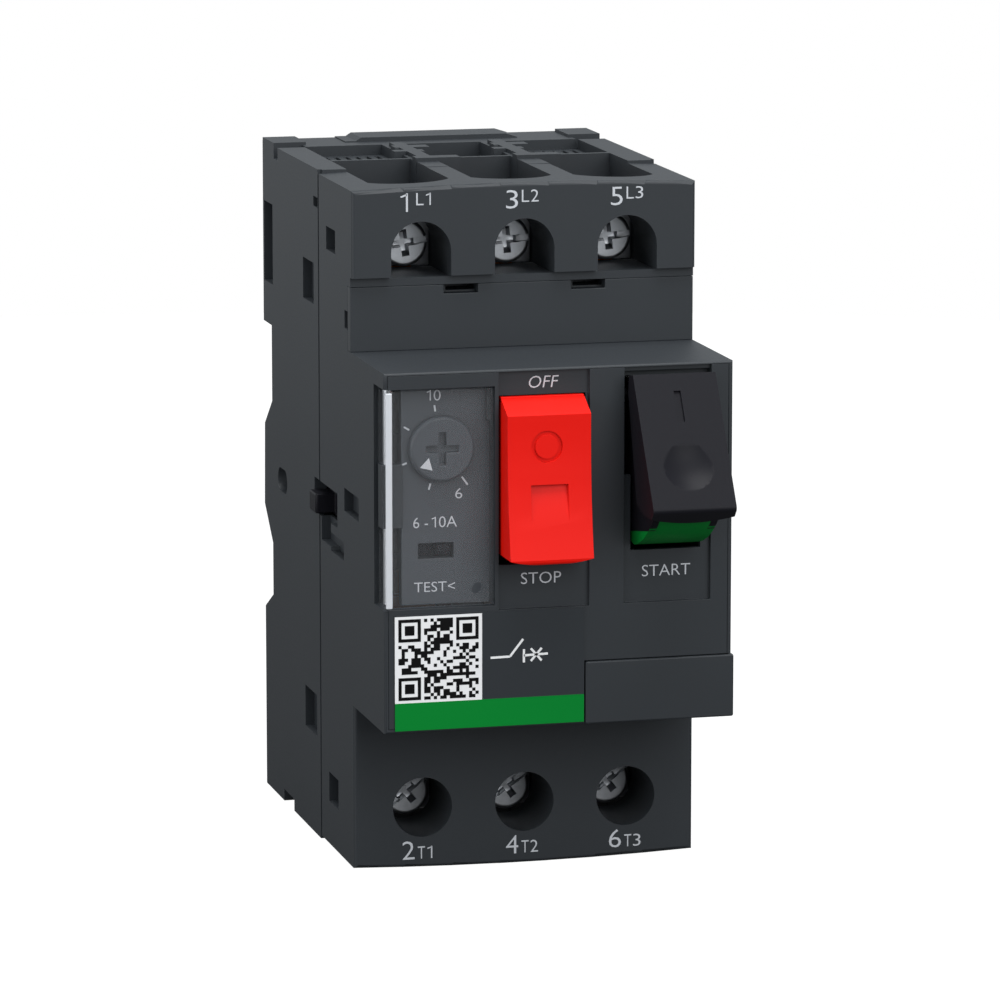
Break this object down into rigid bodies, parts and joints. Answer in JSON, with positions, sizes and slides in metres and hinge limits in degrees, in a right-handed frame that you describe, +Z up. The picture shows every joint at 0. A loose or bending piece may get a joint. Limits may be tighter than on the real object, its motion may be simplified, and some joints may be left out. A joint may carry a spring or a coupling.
{
  "type": "motor protection breaker",
  "caption": "Push-button motor protection breaker with dial, clear flap, screw terminals with cage clamps, contacts, trips and a sprung rail clip.",
  "frame": {"origin": "centre of the rail seat, the plane at the back that rests on the rail's flanges", "axes": "+X to the right seen from the front, +Y backwards into the rail, +Z up"},
  "size_m": [0.0461, 0.0843, 0.089],
  "materials": {
    "housing_plastic": "fine spark-eroded texture, dark slate grey",
    "black_plastic": "satin black",
    "red_plastic": "satin signal red",
    "green_plastic": "satin green",
    "clear_plastic": "clear polycarbonate",
    "label_film": "printed polyester film",
    "zinc_steel": "zinc plated",
    "copper": "bare copper",
    "silver": "silver alloy contact",
    "fibre": "vulcanised fibre"
  },
  "bodies": {
    "housing": {"rear_base": "housing_plastic", "front_cover": "housing_plastic", "control_fascia": "housing_plastic", "blanking_strip": "housing_plastic", "marker_plate": "housing_plastic", "rating_label": "label_film", "cover_hinge_pin": "zinc_steel", "button_pins": "zinc_steel", "stop_spring": "zinc_steel", "line_busbars": "copper", "load_busbars": "copper", "fixed_contact_tips": "silver", "arc_chute_plates": "zinc_steel", "arc_chute_cheeks": "fibre", "magnet_yokes": "zinc_steel", "coil_bobbins": "black_plastic", "trip_coils": "copper", "bimetal_strips": "copper", "heater_windings": "copper", "mechanism_plates": "zinc_steel", "mechanism_pins": "zinc_steel", "housing_screws": "zinc_steel", "rail_clip_spring": "zinc_steel"},
    "clear_cover": {"clear_cover": "clear_plastic"},
    "setting_dial": {"setting_dial": "housing_plastic", "dial_cam": "black_plastic"},
    "test_slider": {"test_slider": "black_plastic"},
    "stop_button": {"stop_button": "red_plastic"},
    "start_button": {"start_button_cap": "black_plastic", "start_button_body": "green_plastic"},
    "contact_carrier": {"contact_carrier": "black_plastic", "contact_bridges": "copper", "contact_springs": "zinc_steel"},
    "drive_lever": {"drive_lever": "zinc_steel"},
    "latch_lever": {"latch_lever": "zinc_steel"},
    "trip_bar": {"trip_bar": "black_plastic"},
    "side_drive_tab": {"side_drive_tab": "black_plastic"},
    "rail_clip": {"rail_clip": "zinc_steel"},
    "trip_plunger_1": {"trip_plunger_1": "zinc_steel"},
    "trip_plunger_2": {"trip_plunger_2": "zinc_steel"},
    "trip_plunger_3": {"trip_plunger_3": "zinc_steel"},
    "terminal_screw_line_1": {"terminal_screw_line_1": "zinc_steel"},
    "clamp_cage_line_1": {"clamp_cage_line_1": "zinc_steel"},
    "terminal_screw_line_2": {"terminal_screw_line_2": "zinc_steel"},
    "clamp_cage_line_2": {"clamp_cage_line_2": "zinc_steel"},
    "terminal_screw_line_3": {"terminal_screw_line_3": "zinc_steel"},
    "clamp_cage_line_3": {"clamp_cage_line_3": "zinc_steel"},
    "terminal_screw_load_1": {"terminal_screw_load_1": "zinc_steel"},
    "clamp_cage_load_1": {"clamp_cage_load_1": "zinc_steel"},
    "terminal_screw_load_2": {"terminal_screw_load_2": "zinc_steel"},
    "clamp_cage_load_2": {"clamp_cage_load_2": "zinc_steel"},
    "terminal_screw_load_3": {"terminal_screw_load_3": "zinc_steel"},
    "clamp_cage_load_3": {"clamp_cage_load_3": "zinc_steel"}
  },
  "joints": [
    {"name": "cover_hinge", "type": "hinge", "parent": "housing", "child": "clear_cover", "pos_m": [-0.0212, -0.0626, 0.007], "axis": [0, 0, -1], "range_deg": [0, 110]},
    {"name": "dial_turn", "type": "hinge", "parent": "housing", "child": "setting_dial", "pos_m": [-0.0146, -0.0638, 0.0129], "axis": [0, -1, 0], "range_deg": [-126, 82]},
    {"name": "test_press", "type": "slide", "parent": "housing", "child": "test_slider", "axis": [-1, 0, 0], "range_m": [0, 0.0012], "stiffness_N_per_m": 300},
    {"name": "stop_press", "type": "hinge", "parent": "housing", "child": "stop_button", "pos_m": [-0.00215, -0.0622, 0.0192], "axis": [1, 0, 0], "range_deg": [0, 7], "stiffness_Nm_per_rad": 0.3},
    {"name": "start_press", "type": "hinge", "parent": "housing", "child": "start_button", "pos_m": [0.01405, -0.062, 0.0185], "axis": [1, 0, 0], "range_deg": [0, 22]},
    {"name": "carrier_slide", "type": "slide", "parent": "housing", "child": "contact_carrier", "axis": [0, 1, 0], "range_m": [0, 0.0028]},
    {"name": "drive_lever_turn", "type": "hinge", "parent": "housing", "child": "drive_lever", "pos_m": [0.006, -0.051, -0.012], "axis": [-1, 0, 0], "range_deg": [0, 14.3]},
    {"name": "side_tab_slide", "type": "slide", "parent": "housing", "child": "side_drive_tab", "axis": [0, -1, 0], "range_m": [0, 0.0035]},
    {"name": "trip_turn", "type": "hinge", "parent": "housing", "child": "trip_bar", "pos_m": [0, -0.05, 0.003], "axis": [1, 0, 0], "range_deg": [0, 8], "stiffness_Nm_per_rad": 0.05},
    {"name": "latch_turn", "type": "hinge", "parent": "housing", "child": "latch_lever", "pos_m": [0.006, -0.0525, 0.013], "axis": [1, 0, 0], "range_deg": [-8, 0]},
    {"name": "clip_slide", "type": "slide", "parent": "housing", "child": "rail_clip", "axis": [0, 0, -1], "range_m": [0, 0.003], "stiffness_N_per_m": 1500, "deforming": ["rail_clip_spring"]},
    {"name": "plunger_slide_1", "type": "slide", "parent": "housing", "child": "trip_plunger_1", "axis": [0, -1, 0], "range_m": [0, 0.002], "stiffness_N_per_m": 120},
    {"name": "plunger_slide_2", "type": "slide", "parent": "housing", "child": "trip_plunger_2", "axis": [0, -1, 0], "range_m": [0, 0.002], "stiffness_N_per_m": 120},
    {"name": "plunger_slide_3", "type": "slide", "parent": "housing", "child": "trip_plunger_3", "axis": [0, -1, 0], "range_m": [0, 0.002], "stiffness_N_per_m": 120},
    {"name": "screw_turn_line_1", "type": "hinge", "parent": "housing", "child": "terminal_screw_line_1", "pos_m": [-0.0135, -0.038, 0.0355], "axis": [0, 1, 0], "range_deg": [0, 1620.5]},
    {"name": "cage_slide_line_1", "type": "slide", "parent": "housing", "child": "clamp_cage_line_1", "axis": [0, -1, 0], "range_m": [0, 0.00315]},
    {"name": "screw_turn_line_2", "type": "hinge", "parent": "housing", "child": "terminal_screw_line_2", "pos_m": [0, -0.038, 0.0355], "axis": [0, 1, 0], "range_deg": [0, 1620.5]},
    {"name": "cage_slide_line_2", "type": "slide", "parent": "housing", "child": "clamp_cage_line_2", "axis": [0, -1, 0], "range_m": [0, 0.00315]},
    {"name": "screw_turn_line_3", "type": "hinge", "parent": "housing", "child": "terminal_screw_line_3", "pos_m": [0.0135, -0.038, 0.0355], "axis": [0, 1, 0], "range_deg": [0, 1620.5]},
    {"name": "cage_slide_line_3", "type": "slide", "parent": "housing", "child": "clamp_cage_line_3", "axis": [0, -1, 0], "range_m": [0, 0.00315]},
    {"name": "screw_turn_load_1", "type": "hinge", "parent": "housing", "child": "terminal_screw_load_1", "pos_m": [-0.0135, -0.038, -0.0363], "axis": [0, 1, 0], "range_deg": [0, 1620.5]},
    {"name": "cage_slide_load_1", "type": "slide", "parent": "housing", "child": "clamp_cage_load_1", "axis": [0, -1, 0], "range_m": [0, 0.00315]},
    {"name": "screw_turn_load_2", "type": "hinge", "parent": "housing", "child": "terminal_screw_load_2", "pos_m": [0, -0.038, -0.0363], "axis": [0, 1, 0], "range_deg": [0, 1620.5]},
    {"name": "cage_slide_load_2", "type": "slide", "parent": "housing", "child": "clamp_cage_load_2", "axis": [0, -1, 0], "range_m": [0, 0.00315]},
    {"name": "screw_turn_load_3", "type": "hinge", "parent": "housing", "child": "terminal_screw_load_3", "pos_m": [0.0135, -0.038, -0.0363], "axis": [0, 1, 0], "range_deg": [0, 1620.5]},
    {"name": "cage_slide_load_3", "type": "slide", "parent": "housing", "child": "clamp_cage_load_3", "axis": [0, -1, 0], "range_m": [0, 0.00315]}
  ],
  "couplings": [
    {"joint": "start_press", "follows": "carrier_slide", "rad_per_m": 137.13},
    {"joint": "drive_lever_turn", "follows": "carrier_slide", "rad_per_m": 89.13},
    {"joint": "side_tab_slide", "follows": "carrier_slide", "ratio": 1.25},
    {"joint": "latch_turn", "follows": "trip_turn", "ratio": -1},
    {"joint": "screw_turn_line_1", "follows": "cage_slide_line_1", "rad_per_m": 8976},
    {"joint": "screw_turn_line_2", "follows": "cage_slide_line_2", "rad_per_m": 8976},
    {"joint": "screw_turn_line_3", "follows": "cage_slide_line_3", "rad_per_m": 8976},
    {"joint": "screw_turn_load_1", "follows": "cage_slide_load_1", "rad_per_m": 8976},
    {"joint": "screw_turn_load_2", "follows": "cage_slide_load_2", "rad_per_m": 8976},
    {"joint": "screw_turn_load_3", "follows": "cage_slide_load_3", "rad_per_m": 8976}
  ]
}
